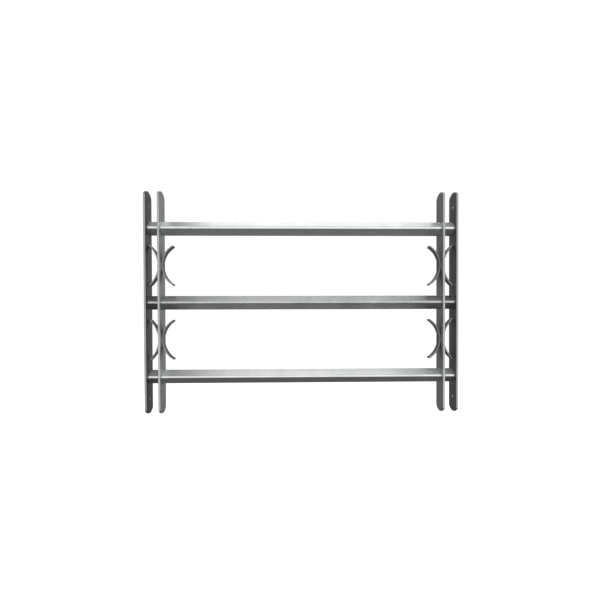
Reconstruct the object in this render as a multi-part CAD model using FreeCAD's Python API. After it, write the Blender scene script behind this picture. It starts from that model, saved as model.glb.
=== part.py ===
import FreeCAD, Part
import math
import os

# Telescopic window security grille. Three crossbars of square tube stand on their corners. Each
# is a long sleeve with a thinner slider coming out of both ends. The left sliders are welded to
# one end upright and the right sliders to the other, and the end uprights screw to the two sides
# of the window opening. Two decorative uprights, each with four C-shaped scrolls, slide along the
# sleeves.
#
# Millimetres. +X runs across the window, +Y through the wall (the street side is -Y), +Z is up.
# The origin is the centre of the closed grille, on the axis of the middle crossbar.

# ---------------------------------------------------------------- driving dimensions
HEIGHT = 450.0  # length of every upright
CLOSED_WIDTH = 630.0  # over the outer faces of the end uprights, slides pushed home
BAR_PITCH = 150.0  # height between crossbar axes

UPRIGHT_WIDTH = 40.0  # flat bar, its broad faces turned to the sides of the window
UPRIGHT_THICK = 4.0
UPRIGHT_END_RADIUS = 26.0  # both ends of the flat bar are cut to this arc
UPRIGHT_EDGE_ROUNDING = 0.7
SCREW_HOLE_DIAMETER = 6.0
SCREW_HOLE_FROM_END = 30.0

SLEEVE_SIDE = 22.0  # outer tube of each crossbar
SLEEVE_CORNER = 4.0
SLIDER_SIDE = 18.0  # inner tubes of each crossbar
SLIDER_CORNER = 2.2
TUBE_WALL = 1.5
SLIDER_GAP = 1.5  # each slider stops this far short of the middle of the grille
SLEEVE_END_GAP = 2.5  # leaves room for the weld where a slider meets its end upright

DECOR_OUTER_FACE = 288.0  # distance of a decorative upright's outer face from the middle
DECOR_HOLE_SIDE = 23.0  # square hole that rides on a sleeve
DECOR_HOLE_CORNER = 4.5

SCROLL_LENGTH = 94.5  # strip before bending
SCROLL_WIDTH = 15.0
SCROLL_THICK = 3.0
INNER_SCROLL_RADIUS = 45.5  # middle of the strip's thickness, scrolls that face the middle
OUTER_SCROLL_RADIUS = 53.0  # the flatter scrolls that face the end upright
SCROLL_EDGE_ROUNDING = 0.6

# ---------------------------------------------------------------- places worked out from them
END_INNER_FACE = CLOSED_WIDTH / 2 - UPRIGHT_THICK
DECOR_INNER_FACE = DECOR_OUTER_FACE - UPRIGHT_THICK
SCREW_HOLE_HEIGHT = HEIGHT / 2 - SCREW_HOLE_FROM_END
BAR_HEIGHTS = {"top": BAR_PITCH, "middle": 0.0, "bottom": -BAR_PITCH}
SCROLL_HEIGHTS = {"upper": BAR_PITCH / 2, "lower": -BAR_PITCH / 2}
SIDES = {"left": -1, "right": 1}

ORIGIN = FreeCAD.Vector(0, 0, 0)
X_AXIS = FreeCAD.Vector(1, 0, 0)
CORNER_UP_DEG = 45.0
CUTTER_OVERRUN = 1.0  # how far a cutting tool runs past the face it cuts
ALONG_X = 0.9  # an edge whose direction has at least this much X in it runs along X
SAME_PLACE = 0.001  # an edge that spreads less than this along an axis lies square to it


def at(x, y, z):
    return FreeCAD.Vector(x, y, z)


def raised(shape, height):
    copy = shape.copy()
    copy.translate(at(0, 0, height))
    return copy


def on_side(shape, sign):
    """The shape as built, which is for the right-hand side, or its mirror image for the left."""
    return shape if sign > 0 else shape.mirror(ORIGIN, X_AXIS)


def cornered_bar(x_start, x_end, side, corner):
    """Square bar along X with rounded long edges, turned to stand on a corner."""
    half = side / 2
    bar = Part.makeBox(x_end - x_start, side, side, at(x_start, -half, -half))
    long_edges = [e for e in bar.Edges if abs(e.tangentAt(e.FirstParameter).x) > ALONG_X]
    bar = bar.makeFillet(corner, long_edges)
    bar.rotate(ORIGIN, X_AXIS, CORNER_UP_DEG)
    return bar


def cornered_tube(x_start, x_end, side, corner):
    outside = cornered_bar(x_start, x_end, side, corner)
    bore_start = x_start - CUTTER_OVERRUN
    bore_end = x_end + CUTTER_OVERRUN
    bore = cornered_bar(bore_start, bore_end, side - 2 * TUBE_WALL, corner - TUBE_WALL)
    return outside.cut(bore)


def sleeve():
    """Outer tube of a crossbar, just clear of the end uprights' welds at both ends."""
    end = END_INNER_FACE - SLEEVE_END_GAP
    return cornered_tube(-end, end, SLEEVE_SIDE, SLEEVE_CORNER)


def slider():
    """Inner tube of the right-hand side, from nearly the middle to the end upright."""
    return cornered_tube(SLIDER_GAP, END_INNER_FACE, SLIDER_SIDE, SLIDER_CORNER)


def flat_bar(x_start):
    """Upright of flat bar, its broad faces square to X and both ends cut to an arc."""
    half_width = UPRIGHT_WIDTH / 2
    half_height = HEIGHT / 2
    arc_rise = UPRIGHT_END_RADIUS - math.sqrt(UPRIGHT_END_RADIUS**2 - half_width**2)
    shoulder = half_height - arc_rise
    top_front = at(x_start, -half_width, shoulder)
    top_back = at(x_start, half_width, shoulder)
    bottom_front = at(x_start, -half_width, -shoulder)
    bottom_back = at(x_start, half_width, -shoulder)
    outline = Part.Wire([
        Part.LineSegment(bottom_front, top_front).toShape(),
        Part.Arc(top_front, at(x_start, 0, half_height), top_back).toShape(),
        Part.LineSegment(top_back, bottom_back).toShape(),
        Part.Arc(bottom_back, at(x_start, 0, -half_height), bottom_front).toShape(),
    ])
    bar = Part.Face(outline).extrude(at(UPRIGHT_THICK, 0, 0))
    rim_edges = [e for e in bar.Edges if e.BoundBox.XLength < SAME_PLACE]
    return bar.makeFillet(UPRIGHT_EDGE_ROUNDING, rim_edges)


def end_upright():
    """End upright of the right-hand side, with a wall screw hole near each end."""
    bar = flat_bar(END_INNER_FACE)
    drill_start = END_INNER_FACE - CUTTER_OVERRUN
    drill_length = UPRIGHT_THICK + 2 * CUTTER_OVERRUN
    for height in (SCREW_HOLE_HEIGHT, -SCREW_HOLE_HEIGHT):
        foot = at(drill_start, 0, height)
        bar = bar.cut(Part.makeCylinder(SCREW_HOLE_DIAMETER / 2, drill_length, foot, X_AXIS))
    return bar


def decor_upright():
    """Decorative upright of the right-hand side, with a square hole for each crossbar."""
    bar = flat_bar(DECOR_INNER_FACE)
    punch_start = DECOR_INNER_FACE - CUTTER_OVERRUN
    punch_end = DECOR_OUTER_FACE + CUTTER_OVERRUN
    punch = cornered_bar(punch_start, punch_end, DECOR_HOLE_SIDE, DECOR_HOLE_CORNER)
    for height in BAR_HEIGHTS.values():
        bar = bar.cut(raised(punch, height))
    return bar


def scroll(face_x, tips_toward, radius):
    """C-shaped strip bent to the centreline radius. Its back touches the plane x = face_x, and
    its tips point away from it, along +X (tips_toward 1) or -X (tips_toward -1)."""
    back = radius + SCROLL_THICK / 2
    belly = radius - SCROLL_THICK / 2
    half_angle = SCROLL_LENGTH / 2 / radius
    centre_x = face_x + tips_toward * back
    front = -SCROLL_WIDTH / 2

    def point(distance, angle):
        x = centre_x - tips_toward * distance * math.cos(angle)
        return at(x, front, distance * math.sin(angle))

    def arc(distance):
        start = point(distance, -half_angle)
        return Part.Arc(start, point(distance, 0), point(distance, half_angle)).toShape()

    def cut_end(angle):
        return Part.LineSegment(point(back, angle), point(belly, angle)).toShape()

    edges = [arc(back), cut_end(half_angle), arc(belly), cut_end(-half_angle)]
    outline = Part.Wire(Part.__sortEdges__(edges))
    strip = Part.Face(outline).extrude(at(0, SCROLL_WIDTH, 0))
    long_edges = [e for e in strip.Edges if isinstance(e.Curve, Part.Circle)]
    return strip.makeFillet(SCROLL_EDGE_ROUNDING, long_edges)


def build_nodes():
    """Every piece of the grille, by the name of its node."""
    nodes = {}
    scrolls = {
        "outer": scroll(DECOR_OUTER_FACE, 1, OUTER_SCROLL_RADIUS),
        "inner": scroll(DECOR_INNER_FACE, -1, INNER_SCROLL_RADIUS),
    }
    for bar, height in BAR_HEIGHTS.items():
        nodes[f"{bar}_sleeve"] = raised(sleeve(), height)
    for side, sign in SIDES.items():
        nodes[f"{side}_end_upright"] = on_side(end_upright(), sign)
        nodes[f"{side}_decor_upright"] = on_side(decor_upright(), sign)
        for bar, height in BAR_HEIGHTS.items():
            nodes[f"{side}_{bar}_slider"] = on_side(raised(slider(), height), sign)
        for row, height in SCROLL_HEIGHTS.items():
            for place, shape in scrolls.items():
                nodes[f"{side}_{row}_{place}_scroll"] = on_side(raised(shape, height), sign)
    return nodes


def main():
    os.makedirs("parts", exist_ok=True)
    for name, shape in sorted(build_nodes().items()):
        if not shape.isValid() or len(shape.Solids) != 1 or shape.Volume <= 0:
            raise ValueError(f"{name} is not one sound solid")
        shape.exportStep(f"parts/{name}.step")
        print(f"{name}: {shape.Volume:.0f} mm3")


main()
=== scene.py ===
import math

import bmesh
import bpy
from mathutils import Matrix, Vector, noise


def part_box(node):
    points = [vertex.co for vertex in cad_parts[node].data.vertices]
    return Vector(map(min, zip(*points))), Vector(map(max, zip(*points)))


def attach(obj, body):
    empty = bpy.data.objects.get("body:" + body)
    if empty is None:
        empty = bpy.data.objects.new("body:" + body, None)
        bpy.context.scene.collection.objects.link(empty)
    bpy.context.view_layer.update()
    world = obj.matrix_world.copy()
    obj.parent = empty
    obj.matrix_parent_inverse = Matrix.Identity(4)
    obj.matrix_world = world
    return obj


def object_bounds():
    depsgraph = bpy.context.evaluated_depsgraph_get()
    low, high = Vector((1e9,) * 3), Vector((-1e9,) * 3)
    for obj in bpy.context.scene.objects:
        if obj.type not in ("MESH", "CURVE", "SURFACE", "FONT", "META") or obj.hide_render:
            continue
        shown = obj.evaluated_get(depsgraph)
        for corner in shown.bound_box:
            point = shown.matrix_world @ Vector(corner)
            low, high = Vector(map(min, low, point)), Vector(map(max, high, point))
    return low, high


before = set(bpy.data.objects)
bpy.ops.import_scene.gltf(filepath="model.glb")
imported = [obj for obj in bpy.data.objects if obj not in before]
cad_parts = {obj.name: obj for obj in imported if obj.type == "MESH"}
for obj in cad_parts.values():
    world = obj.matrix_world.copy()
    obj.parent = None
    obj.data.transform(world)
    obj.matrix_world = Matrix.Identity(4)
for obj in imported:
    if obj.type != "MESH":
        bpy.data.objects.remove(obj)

# Telescopic window security grille in galvanised steel. Metres, in the frame's own axes:
# +X across the window, +Y through the wall (the street side is -Y), +Z up.

MM = 0.001
CAD_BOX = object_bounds()
SIDES = {"left": -1, "right": 1}
BARS = ("top", "middle", "bottom")
ROWS = ("upper", "lower")
PLACES = ("outer", "inner")


# ---------------------------------------------------------------- camera
CAMERA_PLACE = (-0.0270, -0.8473, -0.050)
CAMERA_YAW = math.radians(1.325)  # turned towards +X
CAMERA_PITCH = math.radians(-0.758)
CAMERA_ROLL = math.radians(-0.209)
CAMERA_LENS = 24.801  # mm
CAMERA_SENSOR = 36.0  # mm
CAMERA_SHIFT = (0.00228, 0.0540)


def add_camera():
    data = bpy.data.cameras.new("camera")
    data.lens = CAMERA_LENS
    data.sensor_width = CAMERA_SENSOR
    data.shift_x, data.shift_y = CAMERA_SHIFT
    camera = bpy.data.objects.new("camera", data)
    bpy.context.scene.collection.objects.link(camera)
    level = Matrix.Rotation(math.pi / 2, 4, "X")
    turn = Matrix.Rotation(-CAMERA_YAW, 4, "Z")
    tilt = Matrix.Rotation(CAMERA_PITCH, 4, "X")
    lean = Matrix.Rotation(CAMERA_ROLL, 4, "Z")
    camera.matrix_world = Matrix.Translation(CAMERA_PLACE) @ turn @ level @ tilt @ lean
    bpy.context.scene.camera = camera


# ---------------------------------------------------------------- node helper
class Graph:
    """A node tree being built, with one short call per node."""

    def __init__(self, tree):
        self.tree = tree
        tree.nodes.clear()

    def node(self, kind, inputs=(), **settings):
        made = self.tree.nodes.new(kind)
        for key, value in settings.items():
            setattr(made, key, value)
        for key, value in dict(inputs).items():
            self.feed(made.inputs[key], value)
        return made

    def feed(self, socket, value):
        if isinstance(value, bpy.types.NodeSocket):
            self.tree.links.new(value, socket)
        else:
            socket.default_value = value

    def math(self, operation, first, second=0.0, third=0.0):
        made = self.node("ShaderNodeMath", {0: first, 1: second, 2: third}, operation=operation)
        return made.outputs[0]

    def spread(self, value, low, high, to_low, to_high):
        """The value's stretch from low to high, spread over to_low to to_high and held there."""
        wanted = {"Value": value, "From Min": low, "From Max": high, "To Min": to_low, "To Max": to_high}
        return self.node("ShaderNodeMapRange", wanted).outputs["Result"]

    def mix(self, amount, first, second):
        made = self.node("ShaderNodeMix", data_type="RGBA")
        self.feed(made.inputs["Factor"], amount)
        self.feed(made.inputs["A"], first)
        self.feed(made.inputs["B"], second)
        return next(s for s in made.outputs if s.enabled)

    def noise(self, place, look):
        return self.node("ShaderNodeTexNoise", {"Vector": place, **look}).outputs["Fac"]

    def cells(self, place, look):
        return self.node("ShaderNodeTexVoronoi", {"Vector": place, **look}, feature="F1").outputs

    def drawn_out(self, place, axis, along, across):
        """The place, scaled so that a pattern on it is drawn out along one axis."""
        scale = [across, across, across]
        scale["XYZ".index(axis)] = along
        return self.node("ShaderNodeMapping", {"Vector": place, "Scale": scale}).outputs["Vector"]

    def metal(self, colour, rough, height, bump_strength, bump_depth):
        """Bare metal with this colour, roughness and relief, as the material's output."""
        relief = {"Strength": bump_strength, "Distance": bump_depth, "Height": height}
        normal = self.node("ShaderNodeBump", relief).outputs["Normal"]
        wanted = {"Base Color": colour, "Metallic": 1.0, "Roughness": rough, "Normal": normal}
        shader = self.node("ShaderNodeBsdfPrincipled", wanted)
        self.node("ShaderNodeOutputMaterial", {"Surface": shader.outputs["BSDF"]})


def new_material(name):
    """A material, its node graph, and the place on the object that patterns are laid by."""
    material = bpy.data.materials.new(name)
    material.use_nodes = True
    g = Graph(material.node_tree)
    return material, g, g.node("ShaderNodeTexCoord").outputs["Object"]


# ---------------------------------------------------------------- steel
# The looks of the patterns in the zinc. A scale is in cells per metre, times the stretch along
# and across the streaks or scratches where there is one.
PATCHES = {"Scale": 16.0, "Detail": 5.0, "Roughness": 0.62, "Distortion": 0.3}
SPANGLE = {"Scale": 150.0, "Randomness": 1.0}
GRAIN = {"Scale": 1400.0, "Detail": 3.0, "Roughness": 0.7}
STREAKS = {"Scale": 0.35, "Detail": 4.0, "Roughness": 0.6}
STREAK_STRETCH = (5.0, 900.0)
SCRATCHES = {"Scale": 0.5, "Detail": 2.0}
SCRATCH_STRETCH = (30.0, 2600.0)

# The stretches of a noise, which runs from 0 to 1, that are spread over an effect.
NOISE_SPAN = (0.3, 0.7)
NOISE_CORE = (0.35, 0.65)
PATCH_SPAN = (0.35, 0.68)
SCRATCH_SPAN = (0.56, 0.64)

# What each pattern adds to how dull the zinc is, which is 0 at its bright tone and 1 at its dull one.
PATCH_DULLING = (0.0, 0.62)
STREAK_DULLING = (-0.10, 0.22)
GRAIN_DULLING = (-0.05, 0.05)
TUBE_MOTTLE = 0.09  # what the spangle adds, or takes away at the most
FLAT_BAR_MOTTLE = 0.26

SLEEVE_ROUGHNESS = 0.30
SLIDER_ROUGHNESS = 0.28
FLAT_BAR_ROUGHNESS = 0.42
PATCH_ROUGHENING = (0.0, 0.03)
EDGE_SMOOTHING = 0.06

CLEAN_EDGE = 0.85  # how much of the clean tone a sheared edge shows
CLEAN_EDGE_FADE = 0.5 * MM
RAGGED = 0.25 * MM  # how far a clean edge wavers
SCREW_HOLE_RADIUS = 3.0 * MM
SCREW_HOLE_HEIGHT = 195.0 * MM  # above and below the middle of an end upright
# Painted highlight round the screw holes: how much of its tone shows, and where it fades.
RIM_HIGHLIGHT = 0.9
RIM_START, RIM_END = 0.3 * MM, 0.9 * MM  # from the hole's edge: the painted highlight fades between them
RUBBED = 0.35  # how much of the scratches' tone a slider shows

STREAK_HEIGHT, GRAIN_HEIGHT = 0.5, 0.25  # shares of the relief
ROLLING_RELIEF = 0.05 * MM
ROLLING_BUMP = 0.35

BLUE_SHARE = 0.6  # how much blue a green grey loses, as a share of the red it loses


def grey(level, green=0.0):
    """A grey with a little zinc green in it."""
    return (level * (1 - green), level, level * (1 - BLUE_SHARE * green), 1.0)


# painted highlight: the light tone laid in and round the screw holes
RIM_HIGHLIGHT_TONE = grey(0.62)
SCRATCH_TONE = grey(0.82)


def dull_cover(g, place, patches, streaks, grain, mottle):
    """How dull the zinc is at a place, from 0 to 1: patches, streaks, spangle and grain."""
    flake = g.node("ShaderNodeRGBToBW", {"Color": g.cells(place, SPANGLE)["Color"]}).outputs["Val"]
    cover = g.spread(patches, *PATCH_SPAN, *PATCH_DULLING)
    cover = g.math("ADD", cover, g.spread(streaks, *NOISE_CORE, *STREAK_DULLING))
    cover = g.math("ADD", cover, g.spread(flake, 0.0, 1.0, -mottle, mottle))
    cover = g.math("ADD", cover, g.spread(grain, *NOISE_SPAN, *GRAIN_DULLING))
    return g.spread(cover, 0.0, 1.0, 0.0, 1.0)


def sheared_edge(g, place, patches, edge_half):
    """How clean the metal is near a flat bar's sheared edges, edge_half from its middle in Y."""
    depth = g.node("ShaderNodeSeparateXYZ", {"Vector": place}).outputs["Y"]
    from_middle = g.math("ABSOLUTE", depth)
    ragged = g.math("ADD", from_middle, g.spread(patches, *NOISE_SPAN, -RAGGED, RAGGED))
    return g.spread(ragged, edge_half - CLEAN_EDGE_FADE, edge_half, 0.0, CLEAN_EDGE)


def hole_rim_highlight(g, place):
    """How much painted highlight lies in and round the screw holes of an end upright, where light catches
    the holes' edges.
    """
    parts = g.node("ShaderNodeSeparateXYZ", {"Vector": place}).outputs
    above = g.math("SUBTRACT", g.math("ABSOLUTE", parts["Z"]), SCREW_HOLE_HEIGHT)
    squared = g.math("MULTIPLY_ADD", above, above, g.math("MULTIPLY", parts["Y"], parts["Y"]))
    from_hole = g.math("SQRT", squared)
    return g.spread(from_hole, SCREW_HOLE_RADIUS + RIM_START, SCREW_HOLE_RADIUS + RIM_END, RIM_HIGHLIGHT, 0.0)


def steel(name, streak_axis, tones, roughness, mottle=TUBE_MOTTLE, edge_half=None, edge_tone=None,
          scratches=0.0, screw_hole_highlights=False):
    """Galvanised steel: rolling streaks along one axis, zinc spangle, soft dull patches and a fine
    grain, between its bright and its dull tone. Flat bars have clean sheared edges as well, end
    uprights a painted highlight in and round their screw holes, and sliders the scratches of sliding."""
    material, g, place = new_material(name)
    streaks = g.noise(g.drawn_out(place, streak_axis, *STREAK_STRETCH), STREAKS)
    patches = g.noise(place, PATCHES)
    grain = g.noise(place, GRAIN)

    colour = g.mix(dull_cover(g, place, patches, streaks, grain, mottle), *tones)
    rough = g.math("ADD", roughness, g.spread(patches, *PATCH_SPAN, *PATCH_ROUGHENING))
    if edge_half is not None:
        clean = sheared_edge(g, place, patches, edge_half)
        colour = g.mix(clean, colour, edge_tone)
        rough = g.math("SUBTRACT", rough, g.math("MULTIPLY", clean, EDGE_SMOOTHING))
    if screw_hole_highlights:
        # painted highlight in and round the screw holes
        colour = g.mix(hole_rim_highlight(g, place), colour, RIM_HIGHLIGHT_TONE)
    if scratches:
        marks = g.noise(g.drawn_out(place, "X", *SCRATCH_STRETCH), SCRATCHES)
        colour = g.mix(g.spread(marks, *SCRATCH_SPAN, 0.0, scratches), colour, SCRATCH_TONE)

    ridges = g.math("MULTIPLY", streaks, STREAK_HEIGHT)
    height = g.math("ADD", ridges, g.math("MULTIPLY", grain, GRAIN_HEIGHT))
    g.metal(colour, rough, height, ROLLING_BUMP, ROLLING_RELIEF)
    return material


HEAT = {"Scale": 260.0, "Detail": 4.0}
SLAG = {"Scale": 900.0}
SLAG_EDGE = (0.10, 0.22)  # of a cell, from a speck's middle: the speck fades between them
SLAG_COVER = 0.7
WELD_TONES = (grey(0.46), grey(0.24, 0.04))
SLAG_TONE = grey(0.10)
WELD_ROUGHNESS = (0.36, 0.62)
WELD_RELIEF = 0.15 * MM
WELD_BUMP = 0.5


def weld_metal():
    """Weld bead: heat-dulled zinc with a fine relief and a few darker slag specks."""
    material, g, place = new_material("weld_metal")
    heat = g.noise(place, HEAT)
    from_speck = g.cells(place, SLAG)["Distance"]
    colour = g.mix(g.spread(heat, *NOISE_CORE, 0.0, 1.0), *WELD_TONES)
    colour = g.mix(g.spread(from_speck, *SLAG_EDGE, SLAG_COVER, 0.0), colour, SLAG_TONE)
    rough = g.spread(heat, *NOISE_SPAN, *WELD_ROUGHNESS)
    g.metal(colour, rough, heat, WELD_BUMP, WELD_RELIEF)
    return material


# ---------------------------------------------------------------- every node's steel
# Each pair is for the zinc's bright and dull tones: how bright they are, and how green. The sleeves' and
# the uprights' pairs also hold painted light and shade, part by part.
# Painted light and shade: the three sleeves are one zinc, painted darker on the middle bar, which the top
# bar shades, and lighter on the top and bottom bars.
SLEEVE_LEVELS_WITH_PAINTED_SHADE = {"top": (0.80, 0.66), "middle": (0.53, 0.39), "bottom": (0.74, 0.58)}
SLEEVE_GREENS = (0.02, 0.03)
SLIDER_LEVELS = (0.60, 0.45)
SLIDER_GREENS = (0.01, 0.02)
# Painted light and shade: the four uprights are one flat bar, painted darker on the end uprights, which
# stand in the decor uprights' shade, and lighter on the left decor upright, where more light falls.
UPRIGHT_LEVELS_WITH_PAINTED_SHADE = {
    ("left", "end"): (0.30, 0.21),
    ("left", "decor"): (0.63, 0.47),
    ("right", "decor"): (0.55, 0.41),
    ("right", "end"): (0.40, 0.28),
}
UPRIGHT_GREENS = (0.03, 0.05)
UPRIGHT_EDGE_LEVELS = {"end": 0.40, "decor": 0.42}
SCROLL_LEVELS = (0.36, 0.25)
SCROLL_GREENS = (0.02, 0.04)
SCROLL_EDGE_LEVEL = 0.20


def zinc(levels, greens):
    """The bright and the dull tone of a zinc coat, with the painted light and shade that some parts'
    levels hold.
    """
    return [grey(level, green) for level, green in zip(levels, greens)]


def dress(node, material):
    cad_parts[node].material_slots[0].material = material


def dress_tubes():
    for bar, levels in SLEEVE_LEVELS_WITH_PAINTED_SHADE.items():
        # painted light and shade: each bar's sleeve gets its own lit or shaded copy of the one zinc
        tones = zinc(levels, SLEEVE_GREENS)
        dress(f"{bar}_sleeve", steel(f"{bar}_sleeve_steel_with_painted_shade", "X", tones, SLEEVE_ROUGHNESS))
    slider_tones = zinc(SLIDER_LEVELS, SLIDER_GREENS)
    rubbed = steel("slider_steel", "X", slider_tones, SLIDER_ROUGHNESS, scratches=RUBBED)
    for side in SIDES:
        for bar in BARS:
            dress(f"{side}_{bar}_slider", rubbed)


def dress_uprights():
    edge_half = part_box("left_end_upright")[1].y
    for (side, kind), levels in UPRIGHT_LEVELS_WITH_PAINTED_SHADE.items():
        # painted light and shade: each upright gets its own lit or shaded copy of the one zinc
        tones = zinc(levels, UPRIGHT_GREENS)
        skin = steel(f"{side}_{kind}_upright_steel", "Z", tones, FLAT_BAR_ROUGHNESS,
                     mottle=FLAT_BAR_MOTTLE, edge_half=edge_half,
                     edge_tone=grey(UPRIGHT_EDGE_LEVELS[kind]), screw_hole_highlights=kind == "end")
        dress(f"{side}_{kind}_upright", skin)


def dress_scrolls():
    edge_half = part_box("left_upper_inner_scroll")[1].y
    strip = steel("scroll_steel", "Z", zinc(SCROLL_LEVELS, SCROLL_GREENS), FLAT_BAR_ROUGHNESS,
                  mottle=FLAT_BAR_MOTTLE, edge_half=edge_half, edge_tone=grey(SCROLL_EDGE_LEVEL))
    for side in SIDES:
        for row in ROWS:
            for place in PLACES:
                dress(f"{side}_{row}_{place}_scroll", strip)


# ---------------------------------------------------------------- weld beads
BEAD_STEPS = 7  # faces across a bead's rounded side
MEAN_SIZE, RIPPLE_SIZE, WAVER_SIZE = 0.88, 0.05, 0.12  # shares of the bead's nominal size
RIPPLE_PITCH = 1.3 * MM
WAVER_LENGTH = 6 * MM
WAVER_SLICE = 0.5  # the plane of the noise that wavers are read from
BAR_SEED, ROW_SEED, PLACE_SEED = 10.0, 7.0, 3.0  # give each bead of a kind a waver of its own
SLIDER_CORNER = 2.2 * MM  # rounding of the slider's long edges
RING_STEPS_PER_CORNER, RING_STEPS_PER_FLAT = 12, 44
RING_SIZE = 0.8  # of the gap between the sleeve's end and the end upright
TACK_HALF_LENGTH, TACK_SIZE = 8 * MM, 3.0 * MM
TACK_STEPS = 36
TACK_BLUNTNESS = 0.02  # keeps the bead's two ends from closing to a point


def bead_section(mesh, corner, first, second, size):
    """The bead's vertices at one station: a quarter round in the corner between two faces."""
    ring = [mesh.verts.new(corner)]
    for step in range(BEAD_STEPS + 1):
        angle = math.pi / 2 * step / BEAD_STEPS
        reach = math.cos(angle) * first + math.sin(angle) * second
        ring.append(mesh.verts.new(corner + size * reach))
    return ring


def bead_mesh(name, stations, closed):
    """A bead swept along stations, each (corner, first direction, second direction, size)."""
    mesh = bmesh.new()
    rings = [bead_section(mesh, *station) for station in stations]
    count = len(rings)
    for i in range(count if closed else count - 1):
        here, there = rings[i], rings[(i + 1) % count]
        for j in range(len(here)):
            k = (j + 1) % len(here)
            mesh.faces.new((here[j], here[k], there[k], there[j]))
    if not closed:
        mesh.faces.new(rings[0])
        mesh.faces.new(rings[-1])
    bmesh.ops.recalc_face_normals(mesh, faces=mesh.faces)
    data = bpy.data.meshes.new(name)
    mesh.to_mesh(data)
    mesh.free()
    for face in data.polygons:
        face.use_smooth = True
    return data


def bead_piece(name, stations, material, closed):
    piece = bpy.data.objects.new(name, bead_mesh(name, stations, closed))
    piece.data.materials.append(material)
    bpy.context.scene.collection.objects.link(piece)
    return piece


def lumpy(size, distance, seed):
    """The bead's size at a distance along it: solidified ripples and a slow waver."""
    ripple = RIPPLE_SIZE * math.sin(2 * math.pi * distance / RIPPLE_PITCH)
    waver = WAVER_SIZE * noise.noise(Vector((distance / WAVER_LENGTH, seed, WAVER_SLICE)))
    return size * (MEAN_SIZE + ripple + waver)


def around_x(angle):
    return Vector((0, math.cos(angle), math.sin(angle)))


def slider_outline(tip):
    """Spots round a slider's section, each with its outward normal. The section stands on a
    corner, and tip is how far its corners are from its middle."""
    corner_reach = tip - SLIDER_CORNER  # from the middle to a corner's centre
    spots = []
    for quarter in range(4):
        start = quarter * math.pi / 2
        centre = around_x(start) * corner_reach
        for step in range(RING_STEPS_PER_CORNER):
            normal = around_x(start - math.pi / 4 + math.pi / 2 * step / RING_STEPS_PER_CORNER)
            spots.append((centre + normal * SLIDER_CORNER, normal))
        normal = around_x(start + math.pi / 4)
        next_centre = around_x(start + math.pi / 2) * corner_reach
        for step in range(RING_STEPS_PER_FLAT):
            spot = centre.lerp(next_centre, step / RING_STEPS_PER_FLAT)
            spots.append((spot + normal * SLIDER_CORNER, normal))
    return spots


def add_ring_weld(side, bar, material):
    """Fillet weld round a slider, in the corner it makes with its end upright."""
    sign = SIDES[side]
    low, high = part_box(f"{side}_{bar}_slider")
    face_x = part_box(f"{side}_end_upright")[0 if sign > 0 else 1].x
    sleeve_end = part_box(f"{bar}_sleeve")[1 if sign > 0 else 0].x
    middle_z = (low.z + high.z) / 2
    spots = slider_outline((high.z - low.z) / 2)
    size = abs(face_x - sleeve_end) * RING_SIZE
    outward = Vector((-sign, 0, 0))
    stations = []
    seed = BAR_SEED * BARS.index(bar) + sign
    travelled = 0.0
    for i, (spot, normal) in enumerate(spots):
        travelled += (spot - spots[i - 1][0]).length if i else 0.0
        place = Vector((face_x, spot.y, spot.z + middle_z))
        stations.append((place, normal, outward, lumpy(size, travelled, seed)))
    piece = bead_piece(f"{side}_{bar}_slider_weld", stations, material, closed=True)
    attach(piece, f"{side}_end_frame")


def add_tack_weld(side, row, place, material):
    """Short weld behind a scroll, in the corner between the strip's rear edge and the upright."""
    sign = SIDES[side]
    low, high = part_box(f"{side}_{row}_{place}_scroll")
    upright_low, upright_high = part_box(f"{side}_decor_upright")
    away = sign if place == "outer" else -sign
    face_x = upright_high.x if away > 0 else upright_low.x
    middle_z = (low.z + high.z) / 2
    seed = ROW_SEED * ROWS.index(row) + PLACE_SEED * PLACES.index(place) + sign
    stations = []
    for step in range(TACK_STEPS + 1):
        along = -1 + 2 * step / TACK_STEPS
        taper = math.sqrt(max(1 - along * along, TACK_BLUNTNESS))
        spot = Vector((face_x, high.y, middle_z + along * TACK_HALF_LENGTH))
        bulk = lumpy(TACK_SIZE, (along + 1) * TACK_HALF_LENGTH, seed) * taper
        stations.append((spot, Vector((away, 0, 0)), Vector((0, 1, 0)), bulk))
    piece = bead_piece(f"{side}_{row}_{place}_scroll_weld", stations, material, closed=False)
    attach(piece, f"{side}_decor")


def add_welds():
    material = weld_metal()
    for side in SIDES:
        for bar in BARS:
            add_ring_weld(side, bar, material)
        for row in ROWS:
            for place in PLACES:
                add_tack_weld(side, row, place, material)


# ---------------------------------------------------------------- stage and light
FLOOR_DROP = 0.36  # below the grille's lower ends
FLOOR_SIZE = 60.0
FLOOR_PAPER = (0.9, 0.9, 0.9, 1.0)
FLOOR_GLOW = 1.0
WHITE = (1.0, 1.0, 1.0, 1.0)
ROOM_GREY = (0.95, 1.0, 0.97, 1.0)
ROOM_STRENGTH = 0.12
BACKDROP_STRENGTH = 1.05

# Each softbox: its place, the spot it faces, its width and height in metres, its power in watts.
SOFTBOXES = {
    "overhead_rear": ((0.12, 0.62, 1.6), (0.12, 0.62, 0), 1.4, 0.66, 6.0),
    "overhead_front": ((0.12, -0.36, 1.6), (0.12, -0.36, 0), 1.4, 0.60, 3.2),
    "front": ((0.4, -1.7, 0.45), (0.4, 0, 0.45), 3.4, 4.6, 56.0),
    "left_side": ((-2.4, 0.5, 0), (0, 0.5, 0), 3.0, 2.4, 18.0),
    "right_side": ((2.4, 0.5, 0), (0, 0.5, 0), 3.0, 2.4, 18.0),
    "rear_right": ((1.1, 1.9, 0.35), (0, 0, 0.1), 0.7, 1.6, 2.0),
    "rear_high": ((-0.6, 2.4, 2.0), (0, 0, 0), 2.0, 0.8, 5.0),
}


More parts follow.
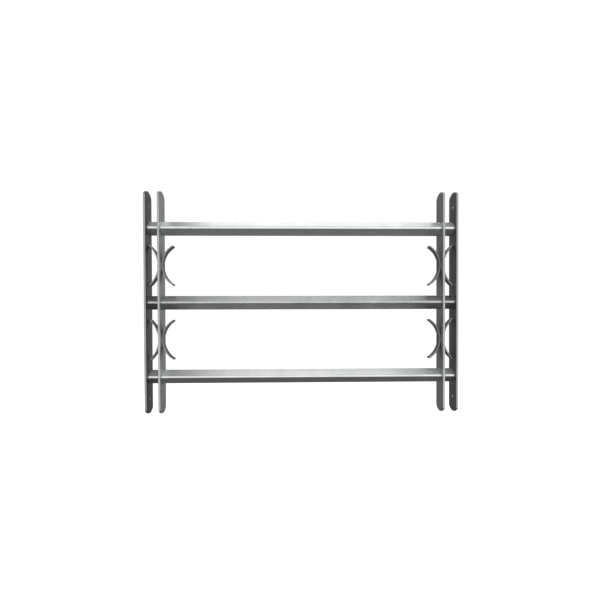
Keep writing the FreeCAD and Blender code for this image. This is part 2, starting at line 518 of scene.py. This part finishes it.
def floor_paper():
    material = bpy.data.materials.new("floor_paper")
    material.use_nodes = True
    g = Graph(material.node_tree)
    paper = g.node("ShaderNodeBsdfDiffuse", {"Color": FLOOR_PAPER})
    glow = g.node("ShaderNodeEmission", {"Color": WHITE, "Strength": FLOOR_GLOW})
    both = g.node("ShaderNodeAddShader", {0: paper.outputs["BSDF"], 1: glow.outputs["Emission"]})
    g.node("ShaderNodeOutputMaterial", {"Surface": both.outputs["Shader"]})
    return material


def add_floor():
    """A pale floor that the camera sees but the steel doesn't."""
    mesh = bmesh.new()
    bmesh.ops.create_grid(mesh, x_segments=1, y_segments=1, size=FLOOR_SIZE / 2)
    data = bpy.data.meshes.new("floor")
    mesh.to_mesh(data)
    mesh.free()
    floor = bpy.data.objects.new("floor", data)
    floor.location.z = CAD_BOX[0].z - FLOOR_DROP
    floor.visible_glossy = False
    floor.visible_diffuse = False
    floor.visible_shadow = False
    bpy.context.scene.collection.objects.link(floor)
    data.materials.append(floor_paper())


def add_world():
    """White behind the object, and a dim grey room for everything else to reflect."""
    world = bpy.data.worlds.new("room")
    bpy.context.scene.world = world
    world.use_nodes = True
    g = Graph(world.node_tree)
    direct = g.node("ShaderNodeLightPath").outputs["Is Camera Ray"]
    room = g.node("ShaderNodeBackground", {"Color": ROOM_GREY, "Strength": ROOM_STRENGTH})
    white = g.node("ShaderNodeBackground", {"Color": WHITE, "Strength": BACKDROP_STRENGTH})
    seen = g.node("ShaderNodeMixShader", {0: direct, 1: room.outputs[0], 2: white.outputs[0]})
    g.node("ShaderNodeOutputWorld", {"Surface": seen.outputs[0]})


def add_softbox(name, place, target, width, height, power):
    data = bpy.data.lights.new(name, "AREA")
    data.shape = "RECTANGLE"
    data.size, data.size_y = width, height
    data.energy = power
    light = bpy.data.objects.new(name, data)
    light.location = place
    aim = Vector(target) - Vector(place)
    light.rotation_mode = "QUATERNION"
    light.rotation_quaternion = aim.to_track_quat("-Z", "Y")
    light.visible_camera = False
    bpy.context.scene.collection.objects.link(light)


add_camera()
add_world()
add_floor()
for softbox_name, softbox in SOFTBOXES.items():
    add_softbox(softbox_name, *softbox)
dress_tubes()
dress_uprights()
dress_scrolls()
add_welds()
bpy.context.scene.view_settings.view_transform = "Standard"
bpy.context.view_layer.update()
